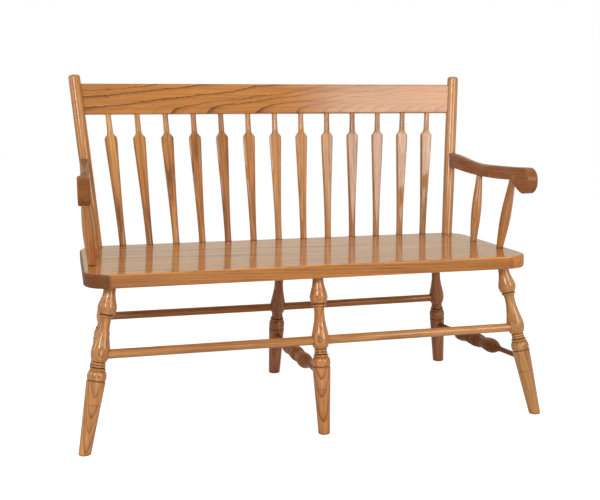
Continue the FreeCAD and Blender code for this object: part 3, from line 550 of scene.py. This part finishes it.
# Posts and arm spindles. Each row: name, pale wood, way to the log's heart, place along the log
uprights = [
    ("back_post_left", (0.66, 0.27, 0.068), (0.4, 1.0, 0.0), 12.0),
    ("back_post_right", (0.68, 0.32, 0.115), (1.0, -0.2, 0.0), 13.1),
    ("arm_spindle_front_left", (0.46, 0.165, 0.038), (1.0, 0.4, 0.0), 14.2),
    ("arm_spindle_rear_left", (0.44, 0.155, 0.036), (-0.5, 1.0, 0.0), 15.3),
    ("arm_spindle_front_right", (0.50, 0.20, 0.052), (0.2, 1.0, 0.0), 16.1),
    ("arm_spindle_rear_right", (0.50, 0.20, 0.052), (1.0, 1.0, 0.0), 17.2),
]
for name, pale, heart, slip in uprights:
    wear(name, oak("Oak " + name.replace("_", " "), name, 2, pale=pale, heart=heart, slip=slip,
                   away=0.06, ring_width=0.0055, lean=0.02))

# Arms. Each row: name, pale wood, way to the log's heart, place along the log, lacquer
arms = [
    ("arm_left", (0.35, 0.098, 0.023), (1.0, 0.0, -0.6), 18.0, 0.1),
    ("arm_right", (0.36, 0.105, 0.025), (0.3, 0.0, -1.0), 19.2, 0.45),
]
for name, pale, heart, slip, lacquer in arms:
    wear(name, oak("Oak " + name.replace("_", " "), name, 1, pale=pale, heart=heart, slip=slip,
                   away=0.07, ring_width=0.0060, lean=0.06, fade=4.0, ring_depth=1.4,
                   lacquer=lacquer))

# Plugs over the screws
wear("arm_screw_plugs", oak("Oak plugs", "arm_screw_plugs", 1, pale=(0.40, 0.14, 0.034),
                            heart=(1.0, 0.0, 0.0), away=0.02, ring_width=0.0022, slip=20.0))


# Zinc on the two hidden screws
def zinc():
    material = bpy.data.materials.new("Brushed zinc")
    tree = blank(material)
    place = node(tree, "ShaderNodeTexCoord").outputs["Object"]
    scratches = cloud(tree, place, (900.0, 60.0, 900.0), detail=3.0).outputs[0]
    blotches = cloud(tree, place, (160.0, 160.0, 160.0), detail=2.0).outputs[0]
    shader = node(tree, "ShaderNodeBsdfPrincipled")
    feed(tree, shader.inputs["Base Color"],
         blend(tree, blotches, (0.50, 0.50, 0.52, 1.0), (0.66, 0.66, 0.67, 1.0)))
    feed(tree, shader.inputs["Roughness"], ramp(tree, scratches, 0.3, 0.7, 0.24, 0.46))
    shader.inputs["Metallic"].default_value = 1.0
    feed(tree, shader.inputs["Normal"], relief(tree, scratches, 0.3, 0.0001))
    end_with(tree, shader)
    return material


wear("arm_screws", zinc())


# Background rays: what the camera, gloss and glass see, apart from what lights the object
def seen_rays(tree, in_gloss):
    path = node(tree, "ShaderNodeLightPath").outputs
    gloss = maths(tree, "MULTIPLY", path["Is Glossy Ray"], in_gloss)
    seen = maths(tree, "ADD", path["Is Camera Ray"], gloss)
    return maths(tree, "ADD", seen, path["Is Transmission Ray"], clamp=True)


# Pale floor
bpy.ops.mesh.primitive_plane_add(size=floor_width, location=(0.0, 0.0, 0.0))
floor = bpy.context.object
floor.name = "studio_floor"
paint = bpy.data.materials.new("Pale studio floor")
tree = blank(paint)
matt = node(tree, "ShaderNodeBsdfPrincipled")
matt.inputs["Base Color"].default_value = (0.66, 0.655, 0.65, 1.0)
matt.inputs["Roughness"].default_value = 0.9
matt.inputs["Specular IOR Level"].default_value = 0.1
glow = node(tree, "ShaderNodeEmission")
feed(tree, glow.inputs["Strength"], maths(tree, "MULTIPLY", seen_rays(tree, 0.35), 0.84))
both = node(tree, "ShaderNodeAddShader")
tree.links.new(matt.outputs[0], both.inputs[0])
tree.links.new(glow.outputs[0], both.inputs[1])
end_with(tree, both)
floor.data.materials.append(paint)

# Studio air: soft light on the object, plain white behind it
air = bpy.data.worlds.new("Studio air")
bpy.context.scene.world = air
tree = blank(air)
soft = node(tree, "ShaderNodeBackground")
soft.inputs["Color"].default_value = plain_white
soft.inputs["Strength"].default_value = 0.24
white = node(tree, "ShaderNodeBackground")
in_gloss = node(tree, "ShaderNodeLightPath").outputs["Is Glossy Ray"]
feed(tree, white.inputs["Color"], blend(tree, in_gloss, plain_white, warm_white))
white.inputs["Strength"].default_value = 1.0
choose = node(tree, "ShaderNodeMixShader")
feed(tree, choose.inputs["Fac"], seen_rays(tree, 0.60))
tree.links.new(soft.outputs[0], choose.inputs[1])
tree.links.new(white.outputs[0], choose.inputs[2])
end_with(tree, choose, "ShaderNodeOutputWorld")


# Soft lamps: each one's rim is as bright as the air behind it
rim_brightness = 0.6


def softbox(title, place, aim, width, height, brightness, soft_edge):
    """A flat lamp, dimmer towards its rim and turned towards a point."""
    lamp = bpy.data.lights.new(title, "AREA")
    lamp.shape = "RECTANGLE"
    lamp.size = width
    lamp.size_y = height
    # With this energy the strength below is the brightness of the lamp's face
    lamp.energy = math.pi * width * height
    tree = blank(lamp)
    across = parts_of(tree, node(tree, "ShaderNodeNewGeometry").outputs["Parametric"])
    fade = 1.0
    for direction in ("X", "Y"):
        off_middle = maths(tree, "ABSOLUTE", maths(tree, "SUBTRACT", across[direction], 0.5))
        inside = maths(tree, "SUBTRACT", 0.5, off_middle)
        fade = maths(tree, "MULTIPLY", ramp(tree, inside, 0.0, soft_edge), fade)
    glow = node(tree, "ShaderNodeEmission")
    strength = ramp(tree, fade, 0.0, 1.0, rim_brightness, brightness, smooth=False)
    feed(tree, glow.inputs["Strength"], strength)
    end_with(tree, glow, "ShaderNodeOutputLight")
    holder = bpy.data.objects.new(title, lamp)
    bpy.context.scene.collection.objects.link(holder)
    holder.location = place
    holder.visible_camera = False
    direction = Vector(aim) - Vector(place)
    holder.rotation_euler = direction.to_track_quat("-Z", "Y").to_euler()


softbox("key_softbox", (-1.75, -2.7, 2.20), (0.0, 0.0, 0.6), 1.3, 1.3, 12.0, 0.15)
softbox("right_softbox", (1.50, -2.28, 1.38), (0.3, 0.3, 0.75), 1.5, 1.7, 6.2, 0.28)
softbox("front_softbox", (-0.15, -2.95, 0.42), (-0.1, 0.0, 0.6), 1.5, 0.5, 3.5, 0.30)
softbox("back_softbox", (0.8, 3.2, 2.5), (0.0, 0.2, 0.6), 1.8, 1.3, 1.8, 0.30)
softbox("left_strip", (-2.6, -0.2, 1.2), (0.0, 0.1, 0.7), 0.4, 1.6, 5.0, 0.2)

# Camera where the photographer stood
camera_place = (-0.65962, -2.61665, 0.87329)
yaw_degrees, pitch_down_degrees, roll_degrees = -14.399, 8.786, -0.157
camera_data = bpy.data.cameras.new("camera")
camera_data.lens = 55.61
camera_data.sensor_width = 36.0
camera = bpy.data.objects.new("camera", camera_data)
bpy.context.scene.collection.objects.link(camera)
camera.location = camera_place
yaw = Matrix.Rotation(math.radians(yaw_degrees), 3, "Z")
pitch = Matrix.Rotation(math.radians(90.0 - pitch_down_degrees), 3, "X")
roll = Matrix.Rotation(math.radians(roll_degrees), 3, "Z")
turned = yaw @ pitch @ roll
camera.rotation_euler = turned.to_euler()
bpy.context.scene.camera = camera
bpy.context.scene.view_settings.view_transform = "Standard"
